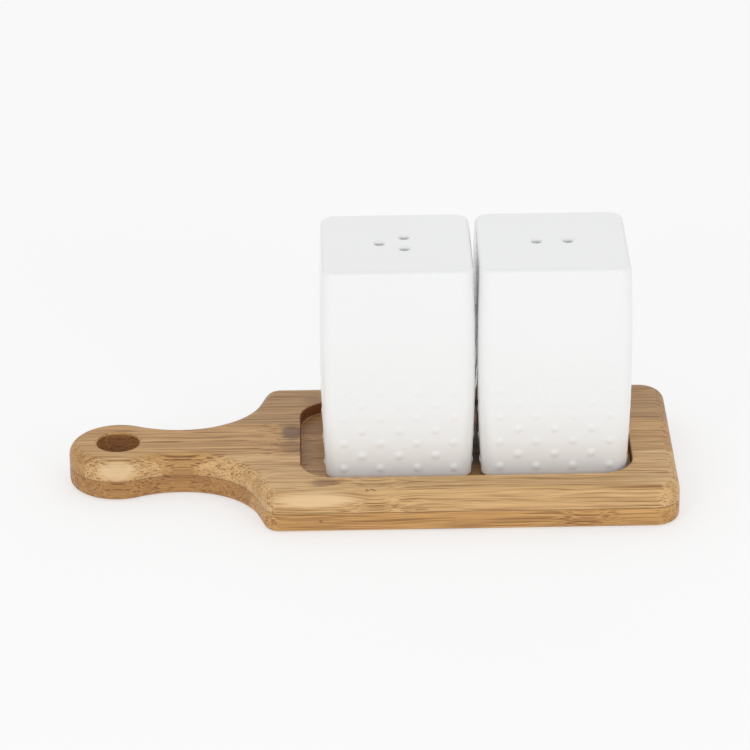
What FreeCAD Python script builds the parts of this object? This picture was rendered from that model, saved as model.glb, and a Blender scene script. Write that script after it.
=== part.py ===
import FreeCAD, Part
import math
import os

# Salt and pepper set: two square barrel-sided shakers standing in the pocket of a
# paddle-shaped serving board.  Millimetres, +Z up, origin under the middle of the board.

# ---- shaker, glazed stoneware ----
shaker_height = 74.4
shaker_width = 50.4           # across the flats at the belly, where the sides bulge most
shaker_foot_draw_in = 1.35    # how far each side comes in from the belly to the foot
shaker_top_draw_in = 0.65     # and from the belly to the top
shaker_belly_height = 44.0    # height of the belly above the foot
shaker_corner_radius = 5.0    # the four upright corners
shaker_top_radius = 1.8       # edge round the flat top
shaker_foot_radius = 1.2      # edge round the foot
shaker_wall = 3.0
shaker_top_wall = 3.4
shaker_base_wall = 3.0
chamber_corner_radius = 3.0
foot_ring_width = 3.0         # flat ring that the shaker stands on
foot_recess_depth = 2.6       # hollow under the base that hides the stopper
recess_corner_radius = 4.0
filler_hole_radius = 9.0

# ---- sprinkle holes ----
sprinkle_hole_radius = 1.6
pepper_hole_circle_radius = 5.4
pepper_hole_count = 3
salt_hole_spacing = 10.3

# ---- raised dots on the four sides, in staggered rows ----
dot_radius = 1.1              # where a dot meets the wall
dot_lean = 0.9                # how much narrower a dot gets for its height
dot_height = 0.45             # height of the lowest row, each row above is lower
dot_facets = 6
dot_row_pitch = 4.6
dot_column_pitch = 12.0
dot_first_row = 4.4           # height of the lowest row above the foot
dot_fading_rows = 11          # rows over which the pattern dies away
dot_rows_raised = 4           # rows that stand out enough to be solid here
dots_in_full_row = 4
dot_root = 0.5                # how deep each dot is rooted in the wall

# ---- stopper, soft silicone ----
stopper_flange_overlap = 2.6      # flange beyond the filler hole's edge, all round
stopper_flange_thickness = 1.6
stopper_plug_clearance = 0.1      # plug to hole wall, radial
stopper_wall = 1.6
stopper_reach = 3.0               # how far the plug stands up inside the shaker
stopper_tab_width = 8.0
stopper_tab_reach = 3.6           # how far the finger tab passes the flange

# ---- how the shakers stand in the pocket ----
shaker_gap = 0.6              # between the two bellies
pocket_end_clearance = 2.1    # salt shaker's foot to the pocket's end wall
pocket_side_clearance = 5.15  # foot to the pocket's long walls
pocket_finger_gap = 8.3       # free space at the handle end of the pocket

# ---- board, laminated bamboo ----
ply_thickness = 7.0
strip_width = 24.4            # width of the bamboo strips glued edge to edge
pocket_depth = 4.0
pocket_corner_radius = 11.5
pocket_rim_chamfer = 0.5
side_rim = 12.6               # board left outside the pocket's long walls
end_rim = 14.5
shoulder_rim = 11.0           # pocket to the shoulder's corner
end_corner_radius = 8.5
shoulder_corner_radius = 5.6
shoulder_arc_radius = 26.3
shoulder_angle = 73.5         # how steeply the shoulder meets the board's side
neck_half_width = 11.6
neck_to_knob = 21.2
knob_radius = 16.3         # the hanging hole is in its middle
hanging_hole_radius = 7.1
hanging_hole_chamfer = 0.8
top_edge_radius = 4.0
bottom_edge_radius = 2.0

# ---- how finely the rounded edges and bulging sides are stepped ----
top_edge_steps = 3            # flats across the board's quarter-round edges
bottom_edge_steps = 2
shaker_edge_steps = 2         # flats across a shaker's quarter-round edges
outside_bands = 5             # bands up a bulging side, outside and in the chamber
chamber_bands = 2

# ---- worked out from the sizes above ----
board_thickness = 2 * ply_thickness
shaker_base_width = shaker_width - 2 * shaker_foot_draw_in
pocket_half_width = shaker_base_width / 2 + pocket_side_clearance
board_half_width = pocket_half_width + side_rim
pocket_length = (pocket_finger_gap + pocket_end_clearance + shaker_base_width
                 + shaker_width + shaker_gap)
shoulder_slope = math.radians(shoulder_angle)
shoulder_arc_rise = shoulder_arc_radius * (1 - math.cos(shoulder_slope))
shoulder_straight_run = ((board_half_width - neck_half_width - shoulder_arc_rise)
                         / math.tan(shoulder_slope))
shoulder_length = shoulder_arc_radius * math.sin(shoulder_slope) + shoulder_straight_run
board_length = (end_rim + pocket_length + shoulder_rim + shoulder_length
                + neck_to_knob + knob_radius)

board_end_x = board_length / 2
pocket_high_x = board_end_x - end_rim
pocket_low_x = pocket_high_x - pocket_length
shoulder_x = pocket_low_x - shoulder_rim
neck_x = shoulder_x - shoulder_length
knob_x = neck_x - neck_to_knob
salt_x = pocket_high_x - pocket_end_clearance - shaker_base_width / 2
pepper_x = salt_x - shaker_width - shaker_gap
pocket_floor_z = board_thickness - pocket_depth

stopper_flange_radius = filler_hole_radius + stopper_flange_overlap

tool_margin = 5.0             # how far cutting shapes run past what they cut


def at(x, y, z=0.0):
    return FreeCAD.Vector(x, y, z)


def arc_about(centre, radius, start_angle, end_angle):
    """Arc edge about a centre, from one angle in degrees to another."""
    points = []
    for angle in (start_angle, (start_angle + end_angle) / 2, end_angle):
        turn = math.radians(angle)
        points.append(centre + at(radius * math.cos(turn), radius * math.sin(turn)))
    return Part.Arc(*points).toShape()


def line(start, end):
    return Part.LineSegment(start, end).toShape()


def ruled_solid(rings):
    """Solid through a stack of like wires, straight from each wire to the next."""
    return Part.makeLoft(rings, True, True)


def quarter_round(radius, steps):
    """(inset, rise) of each step from an upright face over a rounded edge."""
    places = []
    for step in range(1, steps + 1):
        turn = math.pi / 2 * step / steps
        places.append((radius * (1 - math.cos(turn)), radius * math.sin(turn)))
    return places


# ---------------------------------------------------------------- board

def board_outline(inset, z):
    """Closed outline of the board, drawn in by an inset, at one height."""
    # the hollow between knob and neck touches the knob's circle and the neck's waist
    hollow_radius = ((neck_to_knob ** 2 + neck_half_width ** 2 - knob_radius ** 2)
                     / (2 * (knob_radius - neck_half_width)))
    hollow_y = neck_half_width + hollow_radius
    lean = math.degrees(math.atan2(hollow_y, neck_to_knob))
    shoulder_y = neck_half_width + shoulder_arc_radius
    setback = shoulder_corner_radius * math.tan(shoulder_slope / 2)
    corner_y = board_half_width - shoulder_corner_radius
    end_x = board_end_x - end_corner_radius
    end_y = board_half_width - end_corner_radius
    arcs = [
        arc_about(at(neck_x, hollow_y), hollow_radius + inset, lean - 180, -90),
        arc_about(at(neck_x, shoulder_y), shoulder_arc_radius + inset, -90,
                  shoulder_angle - 90),
        arc_about(at(shoulder_x + setback, corner_y), shoulder_corner_radius - inset,
                  90 + shoulder_angle, 90),
        arc_about(at(end_x, end_y), end_corner_radius - inset, 90, 0),
    ]
    side = [arcs[0], arcs[1]]
    for before, after in ((arcs[1], arcs[2]), (arcs[2], arcs[3])):
        side.append(line(before.lastVertex(True).Point, after.firstVertex(True).Point))
        side.append(after)
    other_side = [edge.mirror(at(0, 0), at(0, 1)) for edge in side]
    knob = arc_about(at(knob_x, 0), knob_radius - inset, lean, 360 - lean)
    end = line(at(board_end_x - inset, end_y), at(board_end_x - inset, -end_y))
    outline = Part.Wire(Part.__sortEdges__([knob] + side + [end] + other_side))
    outline.translate(at(0, 0, z))
    return outline


def board_blank():
    """The whole board as shaped after gluing, before it is told apart into strips."""
    shoulder_z = board_thickness - top_edge_radius
    rings = []
    for inset, drop in reversed(quarter_round(bottom_edge_radius, bottom_edge_steps)):
        rings.append(board_outline(inset, bottom_edge_radius - drop))
    rings.append(board_outline(0, bottom_edge_radius))
    rings.append(board_outline(0, shoulder_z))
    for inset, rise in quarter_round(top_edge_radius, top_edge_steps):
        rings.append(board_outline(inset, shoulder_z + rise))
    return ruled_solid(rings).cut([hanging_hole(), pocket()])


def hanging_hole():
    """Round hole through the knob with a small chamfer at both mouths."""
    foot = at(knob_x, 0, -tool_margin)
    mouth_depth = tool_margin + hanging_hole_chamfer
    wide_radius = hanging_hole_radius + mouth_depth
    hole = Part.makeCylinder(hanging_hole_radius, board_thickness + 2 * tool_margin, foot)
    lower = Part.makeCone(wide_radius, hanging_hole_radius, mouth_depth, foot)
    upper = Part.makeCone(hanging_hole_radius, wide_radius, mouth_depth,
                          at(knob_x, 0, board_thickness - hanging_hole_chamfer))
    return hole.fuse([lower, upper])


def rounded_rectangle(low_x, high_x, half_width, radius, z):
    """Closed wire centred on y = 0, from one x to another, with round corners."""
    inner_low = low_x + radius
    inner_high = high_x - radius
    inner_y = half_width - radius
    edges = [
        line(at(high_x, -inner_y), at(high_x, inner_y)),
        arc_about(at(inner_high, inner_y), radius, 0, 90),
        line(at(inner_high, half_width), at(inner_low, half_width)),
        arc_about(at(inner_low, inner_y), radius, 90, 180),
        line(at(low_x, inner_y), at(low_x, -inner_y)),
        arc_about(at(inner_low, -inner_y), radius, 180, 270),
        line(at(inner_low, -half_width), at(inner_high, -half_width)),
        arc_about(at(inner_high, -inner_y), radius, 270, 360),
    ]
    wire = Part.Wire(edges)
    wire.translate(at(0, 0, z))
    return wire


def pocket():
    """Space milled out of the top, opening wider at its chamfered rim."""
    rings = []
    for flare, z in ((0, pocket_floor_z),
                     (0, board_thickness - pocket_rim_chamfer),
                     (pocket_rim_chamfer + tool_margin, board_thickness + tool_margin)):
        rings.append(rounded_rectangle(pocket_low_x - flare, pocket_high_x + flare,
                                       pocket_half_width + flare,
                                       pocket_corner_radius + flare, z))
    return ruled_solid(rings)


def board_strips():
    """Bamboo strips by name: three above, four below with their joints staggered."""
    blank = board_blank()
    edge = board_half_width + tool_margin
    half_strip = strip_width / 2
    spans = {
        "upper_strip_front": (-edge, -half_strip, ply_thickness),
        "upper_strip_centre": (-half_strip, half_strip, ply_thickness),
        "upper_strip_back": (half_strip, edge, ply_thickness),
        "lower_strip_front": (-edge, -strip_width, 0),
        "lower_strip_inner_front": (-strip_width, 0, 0),
        "lower_strip_inner_back": (0, strip_width, 0),
        "lower_strip_back": (strip_width, edge, 0),
    }
    strips = {}
    for name, (low_y, high_y, low_z) in spans.items():
        length = board_length + 2 * tool_margin
        slab = Part.makeBox(length, high_y - low_y, ply_thickness,
                            at(-length / 2, low_y, low_z))
        strips[name] = blank.common(slab)
    return strips


# ---------------------------------------------------------------- shakers

def shaker_half_width(z):
    """Half the distance across the flats at a height: two parabolas joined at the belly."""
    if z < shaker_belly_height:
        share = (shaker_belly_height - z) / shaker_belly_height
        return shaker_width / 2 - share ** 2 * shaker_foot_draw_in
    share = (z - shaker_belly_height) / (shaker_height - shaker_belly_height)
    return shaker_width / 2 - share ** 2 * shaker_top_draw_in


def barrel_ring(inset, corner_radius, z, drawn_at=None):
    """Rounded square that follows the bulging sides, drawn in by an inset."""
    half = shaker_half_width(z) - inset
    return rounded_rectangle(-half, half, half, corner_radius, z if drawn_at is None else drawn_at)


def shaker_outside():
    """Bulging square block with rounded corners, foot edge and top edge."""
    low_z = shaker_foot_radius
    high_z = shaker_height - shaker_top_radius
    rings = []
    for inset, drop in reversed(quarter_round(shaker_foot_radius, shaker_edge_steps)):
        rings.append(barrel_ring(inset, shaker_corner_radius - inset, low_z, low_z - drop))
    for band in range(outside_bands + 1):
        z = low_z + (high_z - low_z) * band / outside_bands
        rings.append(barrel_ring(0, shaker_corner_radius, z))
    for inset, rise in quarter_round(shaker_top_radius, shaker_edge_steps):
        rings.append(barrel_ring(inset, shaker_corner_radius - inset, high_z, high_z + rise))
    return ruled_solid(rings)


def shaker_chamber():
    """Space inside, one wall thickness in from the sides."""
    low_z = foot_recess_depth + shaker_base_wall
    high_z = shaker_height - shaker_top_wall
    rings = []
    for band in range(chamber_bands + 1):
        z = low_z + (high_z - low_z) * band / chamber_bands
        rings.append(barrel_ring(shaker_wall, chamber_corner_radius, z))
    return ruled_solid(rings)


def foot_recess():
    """Shallow hollow under the base, inside the ring that the shaker stands on."""
    half = shaker_half_width(shaker_foot_radius) - shaker_foot_radius - foot_ring_width
    outline = rounded_rectangle(-half, half, half, recess_corner_radius, 0)
    return Part.Face(outline).extrude(at(0, 0, foot_recess_depth))


def sprinkle_hole(x, y):
    """Small round hole through the top."""
    return Part.makeCylinder(sprinkle_hole_radius, shaker_top_wall + 2 * tool_margin,
                             at(x, y, shaker_height - shaker_top_wall - tool_margin))


def stud(centre_x, centre_z, face_y, height):
    """Low many-sided frustum rooted in a wall that faces -Y."""
    rings = []
    for depth in (dot_root, -height):
        radius = dot_radius + dot_lean * depth
        ring = []
        for corner in range(dot_facets + 1):
            turn = 2 * math.pi * (corner + 0.5) / dot_facets
            ring.append(at(centre_x + radius * math.cos(turn), face_y + depth,
                           centre_z + radius * math.sin(turn)))
        rings.append(ring)
    root, crown = rings
    faces = [Part.Face(Part.makePolygon(root)), Part.Face(Part.makePolygon(crown))]
    for i in range(dot_facets):
        quad = [root[i], root[i + 1], crown[i + 1], crown[i], root[i]]
        faces.append(Part.Face(Part.makePolygon(quad)))
    return Part.Solid(Part.Shell(faces))


def raised_dots():
    """Studs on all four sides: staggered rows, each lower than the one below it."""
    dots = []
    for row in range(dot_rows_raised):
        z = dot_first_row + row * dot_row_pitch
        height = dot_height * (1 - row / dot_fading_rows)
        count = dots_in_full_row - row % 2
        for column in range(count):
            x = (column - (count - 1) / 2) * dot_column_pitch
            dot = stud(x, z, -shaker_half_width(z), height)
            for quarter in range(4):
                turned = dot.copy()
                turned.rotate(at(0, 0), at(0, 0, 1), 90 * quarter)
                dots.append(turned)
    return dots


def shaker(hole_places):
    """One shaker standing on z = 0, with its chamber, recess, filler and top holes."""
    filler = Part.makeCylinder(filler_hole_radius, shaker_base_wall + 2 * tool_margin,
                               at(0, 0, foot_recess_depth - tool_margin))
    cuts = [shaker_chamber(), foot_recess(), filler]
    for x, y in hole_places:
        cuts.append(sprinkle_hole(x, y))
    return shaker_outside().fuse(raised_dots()).cut(cuts)


def pepper_hole_places():
    """Ring of holes, one of them towards the handle."""
    places = []
    for index in range(pepper_hole_count):
        turn = math.pi + 2 * math.pi * index / pepper_hole_count
        places.append((pepper_hole_circle_radius * math.cos(turn),
                       pepper_hole_circle_radius * math.sin(turn)))
    return places


def salt_hole_places():
    return [(-salt_hole_spacing / 2, 0), (salt_hole_spacing / 2, 0)]


# ---------------------------------------------------------------- stoppers

def stopper():
    """Flange with a finger tab, under a plug that is hollow from its inner end."""
    flange_z = foot_recess_depth - stopper_flange_thickness
    plug_height = shaker_base_wall + stopper_reach
    plug_radius = filler_hole_radius - stopper_plug_clearance
    tab_outline = rounded_rectangle(0, stopper_flange_radius + stopper_tab_reach,
                                    stopper_tab_width / 2, stopper_tab_width / 4, flange_z)
    flange = Part.makeCylinder(stopper_flange_radius, stopper_flange_thickness,
                               at(0, 0, flange_z))
    tab = Part.Face(tab_outline).extrude(at(0, 0, stopper_flange_thickness))
    plug = Part.makeCylinder(plug_radius, plug_height, at(0, 0, foot_recess_depth))
    hollow = Part.makeCylinder(plug_radius - stopper_wall, plug_height,
                               at(0, 0, foot_recess_depth))
    return flange.fuse([tab, plug]).cut(hollow).removeSplitter()


def in_pocket(shape, x):
    shape.translate(at(x, 0, pocket_floor_z))
    return shape


os.makedirs("parts", exist_ok=True)
nodes = board_strips()
nodes["pepper_shaker"] = in_pocket(shaker(pepper_hole_places()), pepper_x)
nodes["salt_shaker"] = in_pocket(shaker(salt_hole_places()), salt_x)
nodes["pepper_stopper"] = in_pocket(stopper(), pepper_x)
nodes["salt_stopper"] = in_pocket(stopper(), salt_x)
for name, shape in nodes.items():
    whole = shape.Solids[0] if len(shape.Solids) == 1 else Part.makeCompound(shape.Solids)
    whole.exportStep("parts/" + name + ".step")
    print(name, len(shape.Solids), "valid" if shape.isValid() else "NOT VALID",
          round(shape.Volume, 1))
print("board", round(board_length, 2), "x", round(2 * board_half_width, 2))
print("pepper x", round(pepper_x, 2), "salt x", round(salt_x, 2))
print("pocket x", round(pocket_low_x, 2), "to", round(pocket_high_x, 2))
print("hanging hole x", round(knob_x, 2))
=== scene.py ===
import math

import bmesh
import bpy
from mathutils import Matrix, Vector


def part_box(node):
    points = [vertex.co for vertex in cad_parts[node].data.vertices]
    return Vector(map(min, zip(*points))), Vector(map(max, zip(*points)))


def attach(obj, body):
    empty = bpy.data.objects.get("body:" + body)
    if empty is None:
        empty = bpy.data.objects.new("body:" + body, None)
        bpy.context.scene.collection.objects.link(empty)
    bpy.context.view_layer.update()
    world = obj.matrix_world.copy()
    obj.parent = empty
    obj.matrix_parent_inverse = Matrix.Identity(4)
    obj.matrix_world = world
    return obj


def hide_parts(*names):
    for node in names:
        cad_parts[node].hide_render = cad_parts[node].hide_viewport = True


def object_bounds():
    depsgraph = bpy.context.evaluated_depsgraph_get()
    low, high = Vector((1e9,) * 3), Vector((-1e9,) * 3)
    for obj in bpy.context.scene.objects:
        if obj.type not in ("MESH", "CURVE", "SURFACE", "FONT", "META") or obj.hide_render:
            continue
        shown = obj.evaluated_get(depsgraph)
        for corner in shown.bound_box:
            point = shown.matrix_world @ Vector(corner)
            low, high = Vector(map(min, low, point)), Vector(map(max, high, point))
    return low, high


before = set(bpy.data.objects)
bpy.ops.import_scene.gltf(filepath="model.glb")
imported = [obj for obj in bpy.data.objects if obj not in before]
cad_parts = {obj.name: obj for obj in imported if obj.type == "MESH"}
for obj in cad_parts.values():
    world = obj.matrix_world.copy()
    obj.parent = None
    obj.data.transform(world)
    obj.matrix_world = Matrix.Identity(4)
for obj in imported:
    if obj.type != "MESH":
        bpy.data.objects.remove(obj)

mm = 0.001  # the sizes below are in millimetres, the scene is in metres
overcut = 1  # how far a cutting tool reaches past the face that it opens
cadLow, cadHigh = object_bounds()
print("frame loaded", [round(v, 4) for v in (*cadLow, *cadHigh)])


# small helpers for meshes

def newPiece(name, vertices, faces):
    mesh = bpy.data.meshes.new(name)
    mesh.from_pydata([[c * mm for c in v] for v in vertices], [], faces)
    mesh.update()
    piece = bpy.data.objects.new(name, mesh)
    bpy.context.scene.collection.objects.link(piece)
    return piece


def stackRings(name, rings):
    # rings are lists of (x, y, z) with the same count, from the bottom up, each anticlockwise from above
    count = len(rings[0])
    vertices = [point for ring in rings for point in ring]
    faces = [list(reversed(range(count)))]
    for level in range(len(rings) - 1):
        low, high = level * count, (level + 1) * count
        for i in range(count):
            j = (i + 1) % count
            faces.append([low + i, low + j, high + j, high + i])
    faces.append([(len(rings) - 1) * count + i for i in range(count)])
    return newPiece(name, vertices, faces)


def bakeModifiers(piece):
    graph = bpy.context.evaluated_depsgraph_get()
    shaped = bpy.data.meshes.new_from_object(piece.evaluated_get(graph))
    piece.modifiers.clear()
    piece.data = shaped
    return piece


def carve(piece, tools, operation="DIFFERENCE"):
    for tool in tools:
        cut = piece.modifiers.new("cut", "BOOLEAN")
        cut.operation = operation
        cut.solver = "EXACT"
        cut.object = tool
    bakeModifiers(piece)
    for tool in tools:
        bpy.data.objects.remove(tool)
    return piece


def smoothEdges(piece, degrees):
    # soft shading, with crisp edges only where faces meet at more than this angle
    piece.data.shade_smooth()
    piece.data.set_sharp_from_angle(angle=math.radians(degrees))
    even = piece.modifiers.new("even", "WEIGHTED_NORMAL")
    even.keep_sharp = True
    return bakeModifiers(piece)


def arcPoints(centreX, centreY, radius, startDegrees, endDegrees, steps):
    points = []
    for i in range(steps + 1):
        turn = math.radians(startDegrees + (endDegrees - startDegrees) * i / steps)
        points.append((centreX + radius * math.cos(turn), centreY + radius * math.sin(turn)))
    return points


def quarterRound(radius, steps):
    # (inset, rise) going from an upright face over a rounded edge
    turns = [math.pi / 2 * i / steps for i in range(1, steps + 1)]
    return [(radius * (1 - math.cos(t)), radius * math.sin(t)) for t in turns]


def roundedRectangle(lowX, highX, halfY, radius, z, sideSteps=1, cornerSteps=8):
    # anticlockwise from above, corner by corner, with the straight sides divided evenly
    innerY = halfY - radius
    corners = [(highX - radius, innerY, 0), (lowX + radius, innerY, 90),
               (lowX + radius, -innerY, 180), (highX - radius, -innerY, 270)]
    points = []
    for number, (x, y, start) in enumerate(corners):
        points += arcPoints(x, y, radius, start, start + 90, cornerSteps)
        nextX, nextY, nextStart = corners[(number + 1) % 4]
        a = Vector(points[-1])
        b = Vector(arcPoints(nextX, nextY, radius, nextStart, nextStart, 1)[0])
        points += [tuple(a.lerp(b, i / sideSteps)) for i in range(1, sideSteps)]
    return [(x, y, z) for x, y in points]


def circleRing(x, y, radius, z, steps=48):
    return [(px, py, z) for px, py in arcPoints(x, y, radius, 0, 360, steps)[:-1]]


# small helpers for materials and node trees

def hexColour(code):
    # sRGB hex to the linear colour that a shader wants
    channels = [int(code[i:i + 2], 16) / 255 for i in (1, 3, 5)]
    linear = [c / 12.92 if c <= 0.04045 else ((c + 0.055) / 1.055) ** 2.4 for c in channels]
    return (*linear, 1.0)


def addNode(tree, kind, settings=None, inputs=None, output=0):
    # adds a node, sets and links its inputs, and gives back one of its outputs
    node = tree.nodes.new(kind)
    for name, value in (settings or {}).items():
        setattr(node, name, value)
    for name, value in (inputs or {}).items():
        if isinstance(value, bpy.types.NodeSocket):
            tree.links.new(value, node.inputs[name])
        else:
            node.inputs[name].default_value = value
    return node.outputs[output] if len(node.outputs) else None


def newMaterial(name):
    material = bpy.data.materials.new(name)
    material.use_nodes = True
    material.node_tree.nodes.clear()
    return material, material.node_tree


# board: bamboo strips glued edge to edge in two plies, then shaped as one

boardShape = {
    "plyThickness": 7.0, "stripWidth": 24.4, "topRound": 4.0, "bottomRound": 2.0,
    "halfWidth": 41.6, "endCorner": 8.5, "shoulderCorner": 5.6, "shoulderArc": 26.3,
    "shoulderAngle": 73.5, "neckHalfWidth": 11.6, "neckToKnob": 21.2, "knob": 16.3,
    "pocketDepth": 4.0, "pocketCorner": 11.5, "pocketHalfWidth": 29.0, "pocketLength": 109.1,
    "endRim": 14.5, "shoulderRim": 11.0, "rimRound": 0.6, "floorCove": 0.7,
    "hole": 7.1, "holeRound": 0.8, "supportRing": 0.25,
    "knobSteps": 40, "hollowSteps": 14, "shoulderSteps": 24, "cornerSteps": 12, "endSteps": 14,
    "bottomSteps": 4, "topSteps": 9, "rimSteps": 4, "pocketSteps": 16, "holeSteps": 72,
    "slabReach": 130, "slabMargin": 5, "creaseDegrees": 40,
}


def boardPlaces(shape):
    # places along the board, worked back from its square end
    slope = math.radians(shape["shoulderAngle"])
    rise = shape["shoulderArc"] * (1 - math.cos(slope))
    run = (shape["halfWidth"] - shape["neckHalfWidth"] - rise) / math.tan(slope)
    places = {"end": cadHigh.x / mm}
    places["pocketHigh"] = places["end"] - shape["endRim"]
    places["pocketLow"] = places["pocketHigh"] - shape["pocketLength"]
    places["shoulder"] = places["pocketLow"] - shape["shoulderRim"]
    places["neck"] = places["shoulder"] - run - shape["shoulderArc"] * math.sin(slope)
    places["knob"] = places["neck"] - shape["neckToKnob"]
    places["thickness"] = 2 * shape["plyThickness"]
    places["pocketFloor"] = places["thickness"] - shape["pocketDepth"]
    return places


def boardRing(shape, places, inset, z):
    # outline drawn in by an inset: knob, hollow, shoulder, corner and end of one side, then the other
    neck, knob, half = shape["neckHalfWidth"], shape["knob"], shape["halfWidth"]
    reach = shape["neckToKnob"]
    hollow = (reach ** 2 + neck ** 2 - knob ** 2) / (2 * (knob - neck))
    lean = math.degrees(math.atan2(neck + hollow, reach))
    angle = shape["shoulderAngle"]
    setback = shape["shoulderCorner"] * math.tan(math.radians(angle) / 2)
    endX = places["end"] - shape["endCorner"]
    side = arcPoints(places["knob"], 0, knob - inset, 180, lean, shape["knobSteps"])
    side += arcPoints(places["neck"], neck + hollow, hollow + inset,
                      lean - 180, -90, shape["hollowSteps"])[1:]
    side += arcPoints(places["neck"], neck + shape["shoulderArc"], shape["shoulderArc"] + inset,
                      -90, angle - 90, shape["shoulderSteps"])[1:]
    side += arcPoints(places["shoulder"] + setback, half - shape["shoulderCorner"],
                      shape["shoulderCorner"] - inset, 90 + angle, 90, shape["cornerSteps"])
    side += arcPoints(endX, half - shape["endCorner"], shape["endCorner"] - inset,
                      90, 0, shape["endSteps"])
    other = [(x, -y) for x, y in side[1:]]
    return [(x, y, z) for x, y in other + list(reversed(side))]


def buildBoard(shape, places):
    top, bottom = shape["topRound"], shape["bottomRound"]
    rings = [boardRing(shape, places, bottom + shape["supportRing"], 0)]
    rings += [boardRing(shape, places, inset, bottom - drop)
              for inset, drop in reversed(quarterRound(bottom, shape["bottomSteps"]))]
    rings.append(boardRing(shape, places, 0, bottom))
    shoulder = places["thickness"] - top
    rings.append(boardRing(shape, places, 0, shoulder))
    rings += [boardRing(shape, places, inset, shoulder + rise)
              for inset, rise in quarterRound(top, shape["topSteps"])]
    rings.append(boardRing(shape, places, top + shape["supportRing"], places["thickness"]))
    board = stackRings("board", rings)
    return carve(board, [pocketTool(shape, places), holeTool(shape, places)])


def pocketTool(shape, places):
    def ring(flare, z):
        return roundedRectangle(places["pocketLow"] - flare, places["pocketHigh"] + flare,
                                shape["pocketHalfWidth"] + flare, shape["pocketCorner"] + flare,
                                z, cornerSteps=shape["pocketSteps"])
    cove, rim, steps = shape["floorCove"], shape["rimRound"], shape["rimSteps"]
    floor, top = places["pocketFloor"], places["thickness"]
    rings = [ring(-inset, floor + cove - drop)
             for inset, drop in reversed(quarterRound(cove, steps))]
    rings += [ring(0, floor + cove), ring(0, top - rim)]
    rings += [ring(inset, top - rim + rise) for inset, rise in quarterRound(rim, steps)]
    rings.append(ring(rim, top + overcut))
    return stackRings("pocketTool", rings)


def holeTool(shape, places):
    radius, rim, top = shape["hole"], shape["holeRound"], places["thickness"]
    steps = shape["rimSteps"]
    levels = [(rim, -overcut)]
    levels += [(inset, rim - drop) for inset, drop in reversed(quarterRound(rim, steps))]
    levels += [(0, rim), (0, top - rim)]
    levels += [(inset, top - rim + rise) for inset, rise in quarterRound(rim, steps)]
    levels.append((rim, top + overcut))
    rings = [circleRing(places["knob"], 0, radius + flare, z, shape["holeSteps"])
             for flare, z in levels]
    return stackRings("holeTool", rings)


def slabTool(reach, lowY, highY, lowZ, highZ):
    # a block that keeps one strip of the board; reach is past both of its ends
    corners = [(-reach, lowY), (reach, lowY), (reach, highY), (-reach, highY)]
    return stackRings("slabTool", [[(x, y, z) for x, y in corners] for z in (lowZ, highZ)])


def cutStrips(shape, places, board):
    width, ply = shape["stripWidth"], shape["plyThickness"]
    half, edge = width / 2, shape["halfWidth"] + shape["slabMargin"]
    spans = {
        "upper_strip_front": (-edge, -half, ply, 3 * ply),
        "upper_strip_centre": (-half, half, ply, 3 * ply),
        "upper_strip_back": (half, edge, ply, 3 * ply),
        "lower_strip_front": (-edge, -width, -ply, ply),
        "lower_strip_inner_front": (-width, 0, -ply, ply),
        "lower_strip_inner_back": (0, width, -ply, ply),
        "lower_strip_back": (width, edge, -ply, ply),
    }
    strips = {}
    for node, span in spans.items():
        strip = board.copy()
        strip.data = board.data.copy()
        strip.name = node.replace("_strip", "Strip").replace("_", "") + "Wood"
        bpy.context.scene.collection.objects.link(strip)
        carve(strip, [slabTool(shape["slabReach"], *span)], "INTERSECT")
        strips[node] = smoothEdges(strip, shape["creaseDegrees"])
        paintRecessShade(strip.data, shape, places)
    bpy.data.objects.remove(board)
    return strips


# painted shade in the hanging hole and the pocket: most on upright walls, least on the pocket's floor
paintedRecessShade = {"hole": 0.55, "pocketWall": 0.85, "pocketFloor": 0.3}
recessShadeMatch = {"slack": 0.05, "holeSlack": 0.1, "uprightBelow": 0.6}


def paintRecessShade(mesh, shape, places):
    # writes the strength of the painted shade on each face of the hole and the pocket, and 0 elsewhere
    paintedShade = mesh.attributes.new("paintedShade", "FLOAT", "FACE")
    slack = recessShadeMatch["slack"]
    reach = shape["rimRound"] + slack
    for face in mesh.polygons:
        x, y, z = face.center / mm
        upright = abs(face.normal.z) < recessShadeMatch["uprightBelow"]
        fromHole = math.hypot(x - places["knob"], y)
        inPocket = (places["pocketLow"] - reach < x < places["pocketHigh"] + reach
                    and abs(y) < shape["pocketHalfWidth"] + reach)
        if upright and fromHole < shape["hole"] + recessShadeMatch["holeSlack"]:
            paintedShade.data[face.index].value = paintedRecessShade["hole"]
        elif inPocket and upright and z > places["pocketFloor"] - slack:
            paintedShade.data[face.index].value = paintedRecessShade["pocketWall"]
        elif inPocket and abs(z - places["pocketFloor"]) < slack:
            paintedShade.data[face.index].value = paintedRecessShade["pocketFloor"]


# bamboo: planed, sanded and oiled; long pale fibres with fine dark bundles, which show as streaks
# on faces along the strip and as short dashes and dots where the outline cuts across it

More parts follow.
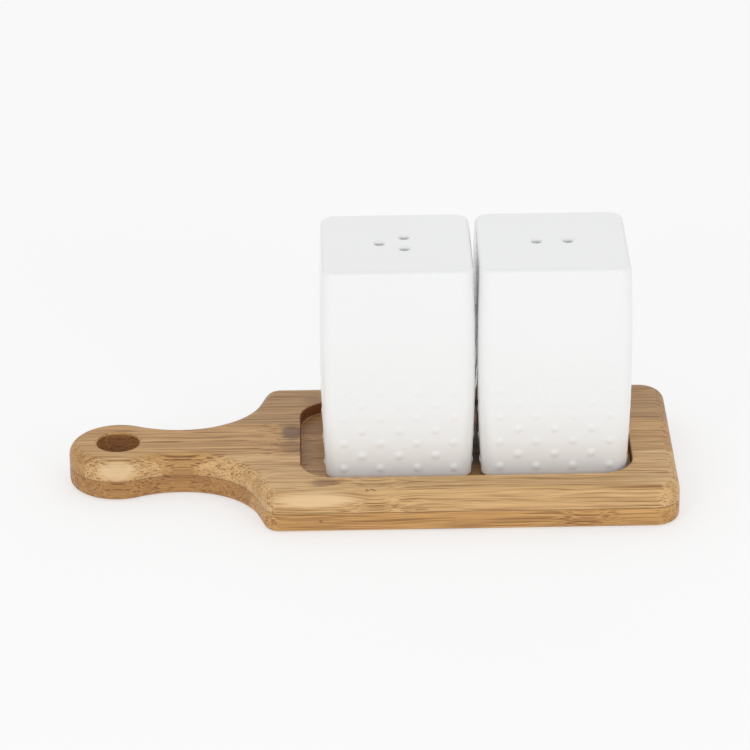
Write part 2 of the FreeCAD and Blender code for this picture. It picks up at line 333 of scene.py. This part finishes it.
bambooLook = {
    # tone is each strip's colour, partly the bamboo's own and partly painted light: the front strips are
    # lighter for their lit front faces, and the upper back strip is darker for the shade behind the
    # shakers
    # marks: (centre in mm, half sizes in mm, colour, strength) of brown culm nodes and pale patches; the
    # pale patches are painted highlight on the front round-overs of the board and the knob
    "upper_strip_front": {
        "seed": 3.0, "tone": "#e3ba80", "streak": "#885b2c", "ripple": 1.0,
        # painted highlight: pale patches on the front round-over of the board and of the knob
        "marks": [((-19, -42, 11.6), (15, 8, 2.9), "#e6c496", 1.0),
                  ((-84, -15, 10.5), (7.5, 5, 3.4), "#e2c498", 0.9),
                  ((-15.5, -33, 14), (6, 3.5, 4), "#6a3c18", 0.7),
                  ((-1.9, -38.6, 13.4), (1.1, 0.8, 1.0), "#4a2a12", 1.0),
                  ((0.2, -38.6, 13.4), (1.1, 0.8, 1.0), "#4a2a12", 1.0)]},
    "upper_strip_centre": {
        "seed": 11.0, "tone": "#d1a365", "streak": "#7e5227", "ripple": -27.0,
        "marks": [((-26, 5, 14), (4.5, 7, 6), "#4c2810", 0.85),
                  ((-26, -6, 14), (5, 6, 6), "#5c3518", 0.5)]},
    "upper_strip_back": {
        "seed": 23.0, "tone": "#ba915b", "streak": "#764d26", "ripple": 60.0,
        "marks": [((-19, 30, 12), (5, 4, 5), "#6b4024", 0.5)]},
    "lower_strip_front": {
        "seed": 31.0, "tone": "#d3a261", "streak": "#7e5125", "ripple": 70.0,
        "marks": [((-17, -41, 4.2), (0.9, 1, 0.7), "#4f2d14", 0.9)]},
    "lower_strip_inner_front": {
        "seed": 41.0, "tone": "#bc8c50", "streak": "#794b22", "ripple": -20.0,
        "marks": [((-19, -8, 10), (5, 4, 3), "#4f301a", 0.6)]},
    "lower_strip_inner_back": {
        "seed": 53.0, "tone": "#bc8c50", "streak": "#794b22", "ripple": 35.0,
        "marks": [((38, 10, 1), (4, 9, 4), "#64402c", 0.6)]},
    "lower_strip_back": {
        "seed": 61.0, "tone": "#bc8d52", "streak": "#774a22", "ripple": -5.0,
        "marks": [((-6, 42, 3), (4, 5, 4), "#64402c", 0.6)]},
}

# sizes of the grain, (along, across) or (along, across, through) the strip in mm
bambooGrain = {
    "wander": (80, 14), "wanderReach": 3.6, "rippleWidth": 7.0, "rippleDepth": 1.1,
    "bundle": (55, 0.72), "spread": (50, 6), "fibre": (34, 0.3), "band": (110, 2.2, 3.0),
    "ragged": (9, 0.9), "raggedReach": (5, 1, 1), "seamWidth": 0.22, "seamCore": 0.03,
}


def bambooMaterial(node, look, shape):
    material, tree = newMaterial("oiledBamboo_" + node)

    def maths(operation, a, b=0.0, c=0.0):
        return addNode(tree, "ShaderNodeMath", {"operation": operation}, {0: a, 1: b, 2: c})

    def vector(operation, a, b, c=(0, 0, 0)):
        return addNode(tree, "ShaderNodeVectorMath", {"operation": operation}, {0: a, 1: b, 2: c})

    def share(value, low, high, strength):
        # 0 at low and the strength at high, easing at both ends
        return addNode(tree, "ShaderNodeMapRange", {"interpolation_type": "SMOOTHSTEP"},
                       {"Value": value, "From Min": low, "From Max": high, "To Max": strength})

    def scales(grain):
        along, across, *through = bambooGrain[grain]
        return (1 / along, 1 / across, 1 / (through[0] if through else across))

    def noise(place, grain, detail, kind="Fac"):
        return addNode(tree, "ShaderNodeTexNoise", {"noise_dimensions": "3D"},
                       {"Vector": vector("MULTIPLY", place, scales(grain)), "Scale": 1.0,
                        "Detail": detail, "Roughness": 0.6}, kind)

    def mix(factor, a, b):
        return addNode(tree, "ShaderNodeMix", {"data_type": "RGBA"}, {"Factor": factor, 6: a, 7: b}, 2)

    coords = addNode(tree, "ShaderNodeTexCoord", output="Object")
    place = vector("MULTIPLY", coords, (1000, 1000, 1000))  # metres to millimetres
    axes = addNode(tree, "ShaderNodeSeparateXYZ", {}, {0: place}).node.outputs
    own = vector("ADD", place, (look["seed"] * 37, look["seed"] * 11, look["seed"] * 5))
    # fibres wander from side to side along the strip, and dip together where a culm node was
    wander = noise(own, "wander", 2.0, "Color")
    sideways = (0, bambooGrain["wanderReach"], bambooGrain["wanderReach"])
    drift = vector("MULTIPLY_ADD", wander, sideways, own)
    fromNode = maths("DIVIDE", maths("SUBTRACT", axes["X"], look["ripple"]),
                     bambooGrain["rippleWidth"])
    dip = maths("DIVIDE", bambooGrain["rippleDepth"],
                maths("ADD", 1.0, maths("POWER", maths("ABSOLUTE", fromNode), 3.0)))
    dipped = vector("ADD", drift, addNode(tree, "ShaderNodeCombineXYZ", {}, {"Y": dip, "Z": dip}))
    # vascular bundles: cells a little under 1 mm across and some 50 mm long
    cell = addNode(tree, "ShaderNodeTexVoronoi", {"feature": "F1"},
                   {"Vector": vector("MULTIPLY", dipped, scales("bundle")),
                    "Scale": 1.0, "Randomness": 0.9})
    bundles = share(cell, 0.44, 0.2, 1.0)
    spread = share(noise(own, "spread", 1.0), 0.3, 0.6, 1.0)
    # fine fibre lines a third of a millimetre apart, and broad bands some millimetres wide
    fibres = share(noise(dipped, "fibre", 3.0), 0.38, 0.66, 0.5)
    bands = share(noise(dipped, "band", 2.0), 0.34, 0.68, 0.26)
    bundleShare = maths("MULTIPLY", bundles, maths("MULTIPLY_ADD", spread, 0.3, 0.3))
    dark = maths("MINIMUM", maths("ADD", maths("ADD", bands, fibres), bundleShare), 1.0)
    colour = mix(dark, hexColour(look["tone"]), hexColour(look["streak"]))
    # marks have ragged ends, and the fibres show through them
    raggedReach = bambooGrain["raggedReach"]
    ragged = vector("MULTIPLY_ADD", noise(dipped, "ragged", 2.0, "Color"), raggedReach,
                    vector("SUBTRACT", place, tuple(reach / 2 for reach in raggedReach)))
    for centre, sizes, tone, strength in look["marks"]:
        offset = vector("DIVIDE", vector("SUBTRACT", ragged, centre), sizes)
        distance = addNode(tree, "ShaderNodeVectorMath", {"operation": "LENGTH"}, {0: offset}, "Value")
        stained = maths("MULTIPLY", share(distance, 1.1, 0.5, strength),
                        maths("MULTIPLY_ADD", fibres, 0.6, 0.7))
        colour = mix(stained, colour, hexColour(tone))
    # painted shade: the faces of the hanging hole and the pocket are darkened towards a dark brown
    paintedShade = addNode(tree, "ShaderNodeAttribute", {"attribute_name": "paintedShade"}, output="Fac")
    colour = mix(paintedShade, colour, hexColour("#6b310a"))
    # the glue line between the plies
    offSeam = maths("ABSOLUTE", maths("SUBTRACT", axes["Z"], shape["plyThickness"]))
    seam = share(offSeam, bambooGrain["seamWidth"], bambooGrain["seamCore"], 0.65)
    colour = mix(seam, colour, hexColour("#5a3a1e"))
    roughness = addNode(tree, "ShaderNodeMapRange", {}, {"Value": dark, "To Min": 0.44, "To Max": 0.6})
    bump = addNode(tree, "ShaderNodeBump", {"invert": True},
                   {"Strength": 0.25, "Distance": 0.00008, "Height": dark})
    shader = addNode(tree, "ShaderNodeBsdfPrincipled", {},
                     {"Base Color": colour, "Roughness": roughness, "Normal": bump, "IOR": 1.5})
    addNode(tree, "ShaderNodeOutputMaterial", {}, {"Surface": shader})
    return material


boardAt = boardPlaces(boardShape)
strips = cutStrips(boardShape, boardAt, buildBoard(boardShape, boardAt))
for node, strip in strips.items():
    strip.data.materials.clear()
    strip.data.materials.append(bambooMaterial(node, bambooLook[node], boardShape))
    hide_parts(node)
    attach(strip, "board")
print("board made,", len(strips), "strips")


# shakers: slip-cast stoneware with bulging sides, dipped in a thick white glaze

shakerShape = {
    "height": 74.4, "width": 50.4, "footDrawIn": 1.35, "topDrawIn": 0.65, "bellyHeight": 44.0,
    "corner": 5.0, "topRound": 1.8, "footRound": 1.2, "wall": 3.0, "topWall": 3.4,
    "baseWall": 3.0, "chamberCorner": 3.0, "footRing": 3.0, "recessDepth": 2.6,
    "recessCorner": 4.0, "fillerHole": 9.0, "sprinkleHole": 1.6, "sprinkleRound": 0.9,
    "chamberRound": 1.5, "recessRound": 0.6, "fillerRound": 0.7, "footSupport": 0.3,
    "topSupport": 0.4, "dotTop": 55.0, "sideSteps": 96, "cornerSteps": 10, "coarseRows": 12,
    "fineRows": 10, "upperRows": 4, "edgeSteps": 8, "chamberRows": 8, "chamberCornerSteps": 6,
    "creaseDegrees": 50,
}
dotShape = {
    "Row Pitch": 4.6, "Column Pitch": 12.0, "First Row": 4.4, "Fading Rows": 11.0,
    "Dot Radius": 1.75, "Dot Height": 0.42, "Outside Limit": 23.2,
}
holeCircle, holeSpacing = 5.4, 10.3
pepperHoles = [(holeCircle * math.cos(t), holeCircle * math.sin(t))
               for t in (math.pi, math.pi / 3, -math.pi / 3)]
saltHoles = [(-holeSpacing / 2, 0.0), (holeSpacing / 2, 0.0)]


def halfWidthAt(shape, z):
    belly, half = shape["bellyHeight"], shape["width"] / 2
    if z < belly:
        return half - shape["footDrawIn"] * ((belly - z) / belly) ** 2
    return half - shape["topDrawIn"] * ((z - belly) / (shape["height"] - belly)) ** 2


def barrelRing(shape, z, inset, corner, drawnAt, sideSteps, cornerSteps):
    half = halfWidthAt(shape, z) - inset
    return roundedRectangle(-half, half, half, corner, drawnAt, sideSteps, cornerSteps)


def shakerOutside(name, shape):
    foot, top, corner = shape["footRound"], shape["topRound"], shape["corner"]
    highZ = shape["height"] - top
    steps = (shape["sideSteps"], shape["cornerSteps"])
    flat = foot + shape["footSupport"]
    rings = [barrelRing(shape, foot, flat, corner - flat, 0, *steps)]
    for inset, drop in reversed(quarterRound(foot, shape["edgeSteps"])):
        rings.append(barrelRing(shape, foot, inset, corner - inset, foot - drop, *steps))
    for row in range(shape["coarseRows"] + 1):
        z = foot + (shape["dotTop"] - foot) * row / shape["coarseRows"]
        rings.append(barrelRing(shape, z, 0, corner, z, *steps))
    for row in range(1, shape["upperRows"] + 1):
        z = shape["dotTop"] + (highZ - shape["dotTop"]) * row / shape["upperRows"]
        rings.append(barrelRing(shape, z, 0, corner, z, *steps))
    for inset, rise in quarterRound(top, shape["edgeSteps"]):
        rings.append(barrelRing(shape, highZ, inset, corner - inset, highZ + rise, *steps))
    flat = top + shape["topSupport"]
    rings.append(barrelRing(shape, highZ, flat, corner - flat, shape["height"], *steps))
    return stackRings(name, rings)


def chamberTool(shape):
    lowZ = shape["recessDepth"] + shape["baseWall"]
    highZ = shape["height"] - shape["topWall"]
    corner, softening, wall = shape["chamberCorner"], shape["chamberRound"], shape["wall"]
    steps, rows = (1, shape["chamberCornerSteps"]), shape["chamberRows"]
    rings = []
    for inset, drop in reversed(quarterRound(softening, 3)):
        rings.append(barrelRing(shape, lowZ, wall + inset, corner - inset,
                                lowZ + softening - drop, *steps))
    for row in range(rows + 1):
        z = lowZ + softening + (highZ - lowZ - 2 * softening) * row / rows
        rings.append(barrelRing(shape, z, wall, corner, z, *steps))
    for inset, rise in quarterRound(softening, 3):
        rings.append(barrelRing(shape, highZ, wall + inset, corner - inset,
                                highZ - softening + rise, *steps))
    return stackRings("chamberTool", rings)


def recessTool(shape):
    half = halfWidthAt(shape, shape["footRound"]) - shape["footRound"] - shape["footRing"]
    corner, rim, depth = shape["recessCorner"], shape["recessRound"], shape["recessDepth"]
    levels = [(-rim, -overcut), (-rim, 0)]
    levels += [(-inset, rim - drop) for inset, drop in list(reversed(quarterRound(rim, 3)))[1:]]
    levels += [(0, rim), (0, depth - rim)]
    levels += [(inset, depth - rim + rise) for inset, rise in quarterRound(rim, 3)]
    rings = [roundedRectangle(inset - half, half - inset, half - inset, corner - inset, z)
             for inset, z in levels]
    return stackRings("recessTool", rings)


def fillerTool(shape):
    low, high = shape["recessDepth"], shape["recessDepth"] + shape["baseWall"]
    rim = shape["fillerRound"]
    levels = [(rim, low - overcut), (rim, low)]
    levels += [(inset, low + rim - drop)
               for inset, drop in list(reversed(quarterRound(rim, 4)))[1:]]
    levels += [(0, low + rim), (0, high + overcut)]
    return stackRings("fillerTool", [circleRing(0, 0, shape["fillerHole"] + flare, z, 72)
                                     for flare, z in levels])


def sprinkleTool(shape, x, y):
    top, rim = shape["height"], shape["sprinkleRound"]
    levels = [(0, top - shape["topWall"] - overcut), (0, top - rim)]
    levels += [(inset, top - rim + rise) for inset, rise in quarterRound(rim, 6)]
    levels.append((rim, top + overcut))
    return stackRings("sprinkleTool", [circleRing(x, y, shape["sprinkleHole"] + flare, z, 32)
                                       for flare, z in levels])


def refineSides(piece, shape):
    # more rows where the dots are, so that each one is about eight faces across
    tolerance, leastRise = 1e-6, 1e-4
    low, high = shape["footRound"] * mm - tolerance, shape["dotTop"] * mm + tolerance
    mesh = bmesh.new()
    mesh.from_mesh(piece.data)
    upright = []
    for edge in mesh.edges:
        a, b = (v.co for v in edge.verts)
        outside = max(abs(a.x), abs(a.y)) > dotShape["Outside Limit"] * mm
        inBand = min(a.z, b.z) > low and max(a.z, b.z) < high
        if outside and inBand and abs(a.z - b.z) > leastRise:
            upright.append(edge)
    bmesh.ops.subdivide_edges(mesh, edges=upright, cuts=shape["fineRows"] - 1,
                              use_grid_fill=True)
    mesh.to_mesh(piece.data)
    mesh.free()


def dotTree(material):
    # pushes the four sides out into staggered rows of round dots, each row lower than the one below
    tree = bpy.data.node_groups.new("raisedDots", "GeometryNodeTree")
    tree.interface.new_socket("Geometry", in_out="INPUT", socket_type="NodeSocketGeometry")
    tree.interface.new_socket("Geometry", in_out="OUTPUT", socket_type="NodeSocketGeometry")
    for name in dotShape:
        tree.interface.new_socket(name, in_out="INPUT", socket_type="NodeSocketFloat")
    given = addNode(tree, "NodeGroupInput").node.outputs

    def maths(operation, a, b=0.0):
        return addNode(tree, "ShaderNodeMath", {"operation": operation}, {0: a, 1: b})

    here = addNode(tree, "GeometryNodeInputPosition")
    axes = addNode(tree, "ShaderNodeSeparateXYZ", {}, {0: here}).node.outputs
    sizeX, sizeY = maths("ABSOLUTE", axes["X"]), maths("ABSOLUTE", axes["Y"])
    facesY = maths("GREATER_THAN", sizeY, sizeX)
    across = addNode(tree, "ShaderNodeMix", {"data_type": "FLOAT"},
                     {"Factor": facesY, "A": axes["Y"], "B": axes["X"]})
    above = maths("SUBTRACT", axes["Z"], given["First Row"])
    row = maths("ROUND", maths("DIVIDE", above, given["Row Pitch"]))
    rise = maths("SUBTRACT", above, maths("MULTIPLY", row, given["Row Pitch"]))
    stagger = maths("MULTIPLY", maths("SUBTRACT", 1.0, maths("FLOORED_MODULO", row, 2.0)), 0.5)
    step = maths("SUBTRACT", maths("DIVIDE", across, given["Column Pitch"]), stagger)
    column = maths("ADD", maths("ROUND", step), stagger)
    run = maths("SUBTRACT", across, maths("MULTIPLY", column, given["Column Pitch"]))
    distance = maths("SQRT", maths("ADD", maths("MULTIPLY", rise, rise),
                                   maths("MULTIPLY", run, run)))
    share = maths("DIVIDE", distance, given["Dot Radius"])
    dome = maths("POWER", maths("MAXIMUM", maths("SUBTRACT", 1.0, maths("MULTIPLY", share, share)),
                                0.0), 1.5)
    fade = maths("MAXIMUM", maths("SUBTRACT", 1.0, maths("DIVIDE", row, given["Fading Rows"])),
                 0.0)
    inPattern = maths("GREATER_THAN", row, -0.5)
    height = maths("MULTIPLY", maths("MULTIPLY", dome, fade),
                   maths("MULTIPLY", inPattern, given["Dot Height"]))
    outX = maths("MULTIPLY", maths("MULTIPLY", maths("SIGN", axes["X"]), height),
                 maths("SUBTRACT", 1.0, facesY))
    outY = maths("MULTIPLY", maths("MULTIPLY", maths("SIGN", axes["Y"]), height), facesY)
    push = addNode(tree, "ShaderNodeCombineXYZ", {}, {"X": outX, "Y": outY})
    outside = maths("GREATER_THAN", maths("MAXIMUM", sizeX, sizeY), given["Outside Limit"])
    pushed = addNode(tree, "GeometryNodeSetPosition", {},
                     {"Geometry": given["Geometry"], "Selection": outside, "Offset": push})
    real = addNode(tree, "GeometryNodeRealizeInstances", {}, {"Geometry": pushed})
    finished = addNode(tree, "GeometryNodeSetMaterial", {},
                       {"Geometry": real, "Material": material})
    addNode(tree, "NodeGroupOutput", {}, {"Geometry": finished})
    return tree


# stoneware glaze: white and glassy, a shade cooler where it pooled, with a faint unevenness from
# the dip that only shows in the reflections

def glazeMaterial():
    material, tree = newMaterial("whiteStonewareGlaze")
    coords = addNode(tree, "ShaderNodeTexCoord", output="Object")
    flow = addNode(tree, "ShaderNodeTexNoise", {"noise_dimensions": "3D"},
                   {"Vector": coords, "Scale": 90.0, "Detail": 2.0, "Roughness": 0.4}, "Fac")
    pooled = addNode(tree, "ShaderNodeTexNoise", {"noise_dimensions": "3D"},
                     {"Vector": coords, "Scale": 14.0, "Detail": 2.0}, "Fac")
    colour = addNode(tree, "ShaderNodeMix", {"data_type": "RGBA"},
                     {"Factor": pooled, 6: hexColour("#eeefee"), 7: hexColour("#f2f3f3")}, 2)
    roughness = addNode(tree, "ShaderNodeMapRange", {},
                        {"Value": flow, "From Min": 0.3, "From Max": 0.7, "To Min": 0.07,
                         "To Max": 0.13})
    bump = addNode(tree, "ShaderNodeBump", {},
                   {"Strength": 0.12, "Distance": 0.0003, "Height": flow})
    shader = addNode(tree, "ShaderNodeBsdfPrincipled", {},
                     {"Base Color": colour, "Roughness": roughness, "Normal": bump, "IOR": 1.5})
    addNode(tree, "ShaderNodeOutputMaterial", {}, {"Surface": shader})
    return material


def buildShaker(name, shape, holes, tree, place):
    piece = shakerOutside(name, shape)
    tools = [chamberTool(shape), recessTool(shape), fillerTool(shape)]
    tools += [sprinkleTool(shape, x, y) for x, y in holes]
    carve(piece, tools)
    refineSides(piece, shape)
    dots = piece.modifiers.new("dots", "NODES")
    dots.node_group = tree
    for socket in tree.interface.items_tree:
        if socket.in_out == "INPUT" and socket.name in dotShape:
            size = dotShape[socket.name]
            dots[socket.identifier] = size if socket.name == "Fading Rows" else size * mm
    bakeModifiers(piece)
    piece.data.transform(Matrix.Translation(place))
    smoothEdges(piece, shape["creaseDegrees"])
    return piece


glaze = glazeMaterial()
raisedDots = dotTree(glaze)
for kind, holes in (("pepper", pepperHoles), ("salt", saltHoles)):
    low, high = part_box(kind + "_shaker")
    centre = Vector(((low.x + high.x) / 2, (low.y + high.y) / 2, low.z))
    shaker = buildShaker(kind + "ShakerGlazed", shakerShape, holes, raisedDots, centre)
    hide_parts(kind + "_shaker")
    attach(shaker, kind + "_shaker")
    print(kind, "shaker made,", len(shaker.data.polygons), "faces")


# stoppers: soft moulded silicone, a flange with a finger tab and a hollow plug with one bead

stopperShape = {
    "flange": 11.6, "flangeThickness": 1.6, "plug": 8.6, "wall": 1.6, "reach": 6.0,
    "bead": 8.9, "beadWidth": 1.0, "beadHeight": 1.0, "tabWidth": 8.0, "tabReach": 3.6,
    "edge": 0.35, "edgeSteps": 3, "beadSteps": 6, "tabRoot": 4.0, "tabCorner": 2.0,
    "creaseDegrees": 40,
}


def turned(name, profile, steps=96):
    # a closed form spun round Z from (radius, z) points; the first and last are on the axis
    vertices = [(0, 0, profile[0][1]), (0, 0, profile[-1][1])]
    for radius, z in profile[1:-1]:
        vertices += circleRing(0, 0, radius, z, steps)
    faces = []
    rings = len(profile) - 2
    for i in range(steps):
        j = (i + 1) % steps
        faces.append([0, 2 + j, 2 + i])
        faces.append([1, 2 + (rings - 1) * steps + i, 2 + (rings - 1) * steps + j])
        for ring in range(rings - 1):
            low, high = 2 + ring * steps, 2 + (ring + 1) * steps
            faces.append([low + i, low + j, high + j, high + i])
    return newPiece(name, vertices, faces)


def stopperProfile(shape):
    edge, thick, steps = shape["edge"], shape["flangeThickness"], shape["beadSteps"]
    flange, plug, top = shape["flange"], shape["plug"], thick + shape["reach"]
    inner = plug - shape["wall"]
    rounding = quarterRound(edge, shape["edgeSteps"])
    profile = [(0, 0)]
    profile += [(flange - inset, edge - drop) for inset, drop in reversed(rounding)]
    profile += [(flange, edge), (flange, thick - edge)]
    profile += [(flange - inset, thick - edge + rise) for inset, rise in rounding]
    profile.append((plug, thick))
    beadLow = thick + shape["beadHeight"]
    for step in range(steps + 1):
        swell = math.sin(math.pi * step / steps) * (shape["bead"] - plug)
        profile.append((plug + swell, beadLow + shape["beadWidth"] * step / steps))
    profile.append((plug, top - edge))
    profile += [(plug - inset, top - edge + rise) for inset, rise in rounding]
    profile += [(inner + inset, top - edge + rise) for inset, rise in reversed(rounding)]
    profile += [(inner, top - edge), (inner, thick + edge)]
    profile += [(inner - inset, thick + edge - drop) for inset, drop in rounding]
    profile.append((0, thick))
    return profile


def stopperTab(shape):
    root, reach, half = shape["tabRoot"], shape["flange"] + shape["tabReach"], shape["tabWidth"] / 2
    edge, thick, corner = shape["edge"], shape["flangeThickness"], shape["tabCorner"]
    rounding = quarterRound(edge, shape["edgeSteps"])
    levels = [(inset, edge - drop) for inset, drop in reversed(rounding)]
    levels += [(0, edge), (0, thick - edge)]
    levels += [(inset, thick - edge + rise) for inset, rise in rounding]
    rings = [roundedRectangle(root + inset, reach - inset, half - inset, corner - inset, z)
             for inset, z in levels]
    return stackRings("tabTool", rings)


# silicone: moulded soft, milky and slightly see-through, with a matt mould finish

def siliconeMaterial():
    material, tree = newMaterial("milkySilicone")
    coords = addNode(tree, "ShaderNodeTexCoord", output="Object")
    mould = addNode(tree, "ShaderNodeTexNoise", {"noise_dimensions": "3D"},
                    {"Vector": coords, "Scale": 1800.0, "Detail": 2.0}, "Fac")
    cloud = addNode(tree, "ShaderNodeTexNoise", {"noise_dimensions": "3D"},
                    {"Vector": coords, "Scale": 120.0, "Detail": 1.0}, "Fac")
    colour = addNode(tree, "ShaderNodeMix", {"data_type": "RGBA"},
                     {"Factor": cloud, 6: hexColour("#d9dad6"), 7: hexColour("#e4e4e0")}, 2)
    bump = addNode(tree, "ShaderNodeBump", {},
                   {"Strength": 0.3, "Distance": 0.00005, "Height": mould})
    shader = addNode(tree, "ShaderNodeBsdfPrincipled", {},
                     {"Base Color": colour, "Roughness": 0.5, "Normal": bump, "IOR": 1.41,
                      "Subsurface Weight": 0.3, "Subsurface Radius": (0.002, 0.002, 0.002),
                      "Subsurface Scale": 1.0})
    addNode(tree, "ShaderNodeOutputMaterial", {}, {"Surface": shader})
    return material


silicone = siliconeMaterial()
for kind in ("pepper", "salt"):
    low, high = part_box(kind + "_stopper")
    shakerLow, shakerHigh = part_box(kind + "_shaker")
    stopper = turned(kind + "StopperSilicone", stopperProfile(stopperShape))
    carve(stopper, [stopperTab(stopperShape)], "UNION")
    stopper.data.transform(Matrix.Translation(((shakerLow.x + shakerHigh.x) / 2, 0, low.z)))
    smoothEdges(stopper, stopperShape["creaseDegrees"])
    stopper.data.materials.clear()
    stopper.data.materials.append(silicone)
    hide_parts(kind + "_stopper")
    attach(stopper, kind + "_stopper")
print("stoppers made")


# floor, light and camera

def paperMaterial():
    # white studio paper, lifted to an even near-white by its own glow
    material, tree = newMaterial("whitePaper")
    shader = addNode(tree, "ShaderNodeBsdfPrincipled", {},
                     {"Base Color": hexColour("#b3b3b3"), "Roughness": 1.0,
                      "Specular IOR Level": 0.0, "Emission Color": hexColour("#ffffff"),
                      "Emission Strength": 0.549})
    addNode(tree, "ShaderNodeOutputMaterial", {}, {"Surface": shader})
    return material


floorReach = 4000
floorHeight = -0.05  # keeps the paper off the board's underside
floorCorners = [(-floorReach, -floorReach), (floorReach, -floorReach),
                (floorReach, floorReach), (-floorReach, floorReach)]
floor = newPiece("floor", [(x, y, floorHeight) for x, y in floorCorners], [[0, 1, 2, 3]])
floor.data.materials.append(paperMaterial())

lightSet = {
    # name: (place in mm, aim in mm, width in mm, power in watts)
    "frontLeftSoftbox": ((-1100, -1700, 750), (0, 0, 40), 420, 3.9),
    "frontRightSoftbox": ((1100, -1700, 750), (0, 0, 40), 420, 3.7),
    "frontSoftbox": ((0, -1900, 1250), (0, 0, 40), 500, 1.6),
    "backSoftbox": ((0, 1900, 900), (0, 0, 20), 1500, 2.4),
}
for name, (place, aim, width, power) in lightSet.items():
    light = bpy.data.lights.new(name, "AREA")
    light.size = width * mm
    light.energy = power
    lamp = bpy.data.objects.new(name, light)
    lamp.location = Vector(place) * mm
    lamp.rotation_mode = "QUATERNION"
    lamp.rotation_quaternion = (Vector(aim) - Vector(place)).to_track_quat("-Z", "Y")
    bpy.context.scene.collection.objects.link(lamp)

roomGlow = {"Color": hexColour("#ffffff"), "Strength": 0.805}
world = bpy.data.worlds.new("paleRoom")
world.use_nodes = True
for name, value in roomGlow.items():
    world.node_tree.nodes["Background"].inputs[name].default_value = value
bpy.context.scene.world = world
bpy.context.scene.view_settings.view_transform = "Standard"

cameraSet = {
    "focalLength": 206.05, "sensor": 36.0, "distance": 1434.6, "elevation": 24.834,
    "turn": 0.815, "roll": 0.5725, "aimHeight": 33.6, "slide": 0.05, "alongBoard": 1.61,
    "nearest": 0.01, "farthest": 20,
}


def placeCamera(setting):
    tilt, turn = math.radians(setting["elevation"]), math.radians(setting["turn"])
    roll = math.radians(setting["roll"])
    data = bpy.data.cameras.new("view")
    data.lens, data.sensor_width = setting["focalLength"], setting["sensor"]
    data.clip_start, data.clip_end = setting["nearest"], setting["farthest"]
    camera = bpy.data.objects.new("view", data)
    bpy.context.scene.collection.objects.link(camera)
    right = Vector((1, 0, 0))
    up = Vector((0, math.sin(tilt), math.cos(tilt)))
    back = Vector((0, -math.cos(tilt), math.sin(tilt)))
    spot = back * setting["distance"] + up * setting["aimHeight"] + right * setting["slide"]
    aside = right * math.cos(roll) - up * math.sin(roll)
    upright = right * math.sin(roll) + up * math.cos(roll)
    turnBack = Matrix.Rotation(-turn, 3, "Z")
    axes = Matrix((turnBack @ aside, turnBack @ upright, turnBack @ back)).transposed()
    spot = (turnBack @ spot + Vector((setting["alongBoard"], 0, 0))) * mm
    camera.matrix_world = Matrix.Translation(spot) @ axes.to_4x4()
    bpy.context.scene.camera = camera


placeCamera(cameraSet)
print("stage set")
